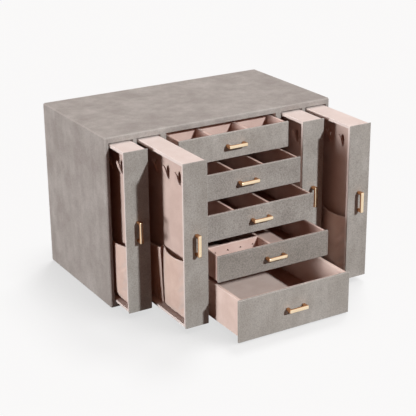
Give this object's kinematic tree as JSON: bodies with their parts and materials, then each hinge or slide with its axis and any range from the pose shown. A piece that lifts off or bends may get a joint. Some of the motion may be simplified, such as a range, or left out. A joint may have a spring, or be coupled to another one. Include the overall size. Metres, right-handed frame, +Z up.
{
  "type": "tiered jewelry box",
  "caption": "Leather covered cabinet with suede lined drawers in the middle and narrow hook racks with pockets at both sides, which slide out of its front by small brass pulls.",
  "frame": {"origin": "middle of the cabinet's footprint, on the surface that its felt base stands on", "axes": "+Z up, -Y out of the cabinet's front in the direction that drawers and racks open, +X to the right of a person who faces the front"},
  "size_m": [0.432, 0.4661, 0.294],
  "materials": {
    "grey_leather": "pebbled warm grey imitation leather over board, low sheen",
    "blush_suede": "matt blush pink suede cloth over board",
    "pocket_cloth": "matt blush pink suede cloth, gathered, with a folded hem",
    "brass": "brushed pale gold brass",
    "base_felt": "dark grey needle felt"
  },
  "bodies": {
    "case": {"case_top": "grey_leather", "case_bottom": "grey_leather", "case_left_side": "grey_leather", "case_right_side": "grey_leather", "case_back": "grey_leather", "partition_1": "grey_leather", "partition_2": "grey_leather", "partition_3": "grey_leather", "partition_4": "grey_leather", "shelf_1": "grey_leather", "shelf_2": "grey_leather", "shelf_3": "grey_leather", "shelf_4": "grey_leather", "base_felt": "base_felt"},
    "rack_1": {"rack_1_front": "grey_leather", "rack_1_frame": "blush_suede", "rack_1_hook_board": "blush_suede", "rack_1_pocket_left": "pocket_cloth", "rack_1_pocket_right": "pocket_cloth", "rack_1_pull": "brass"},
    "rack_2": {"rack_2_front": "grey_leather", "rack_2_frame": "blush_suede", "rack_2_hook_board": "blush_suede", "rack_2_pocket_left": "pocket_cloth", "rack_2_pocket_right": "pocket_cloth", "rack_2_pull": "brass"},
    "rack_3": {"rack_3_front": "grey_leather", "rack_3_frame": "blush_suede", "rack_3_hook_board": "blush_suede", "rack_3_pocket_left": "pocket_cloth", "rack_3_pocket_right": "pocket_cloth", "rack_3_pull": "brass"},
    "rack_4": {"rack_4_front": "grey_leather", "rack_4_frame": "blush_suede", "rack_4_hook_board": "blush_suede", "rack_4_pocket_left": "pocket_cloth", "rack_4_pocket_right": "pocket_cloth", "rack_4_pull": "brass"},
    "drawer_1": {"drawer_1_front": "grey_leather", "drawer_1_tray": "blush_suede", "drawer_1_dividers": "blush_suede", "drawer_1_pull": "brass"},
    "drawer_2": {"drawer_2_front": "grey_leather", "drawer_2_tray": "blush_suede", "drawer_2_dividers": "blush_suede", "drawer_2_pull": "brass"},
    "drawer_3": {"drawer_3_front": "grey_leather", "drawer_3_tray": "blush_suede", "drawer_3_dividers": "blush_suede", "drawer_3_pull": "brass"},
    "drawer_4": {"drawer_4_front": "grey_leather", "drawer_4_tray": "blush_suede", "drawer_4_dividers": "blush_suede", "drawer_4_pull": "brass"},
    "drawer_5": {"drawer_5_front": "grey_leather", "drawer_5_tray": "blush_suede", "drawer_5_pull": "brass"}
  },
  "joints": [
    {"name": "rack_1_slide", "type": "slide", "parent": "case", "child": "rack_1", "axis": [0, -1, 0], "range_m": [-0.05036, 0.16764]},
    {"name": "rack_2_slide", "type": "slide", "parent": "case", "child": "rack_2", "axis": [0, -1, 0], "range_m": [-0.14606, 0.07194]},
    {"name": "rack_3_slide", "type": "slide", "parent": "case", "child": "rack_3", "axis": [0, -1, 0], "range_m": [-0.06431, 0.15369]},
    {"name": "rack_4_slide", "type": "slide", "parent": "case", "child": "rack_4", "axis": [0, -1, 0], "range_m": [-0.12579, 0.09221]},
    {"name": "drawer_1_slide", "type": "slide", "parent": "case", "child": "drawer_1", "axis": [0, -1, 0], "range_m": [-0.03837, 0.17963]},
    {"name": "drawer_2_slide", "type": "slide", "parent": "case", "child": "drawer_2", "axis": [0, -1, 0], "range_m": [-0.07521, 0.14279]},
    {"name": "drawer_3_slide", "type": "slide", "parent": "case", "child": "drawer_3", "axis": [0, -1, 0], "range_m": [-0.11401, 0.10399]},
    {"name": "drawer_4_slide", "type": "slide", "parent": "case", "child": "drawer_4", "axis": [0, -1, 0], "range_m": [-0.15631, 0.06169]},
    {"name": "drawer_5_slide", "type": "slide", "parent": "case", "child": "drawer_5", "axis": [0, -1, 0], "range_m": [-0.21604, 0.00196]}
  ]
}
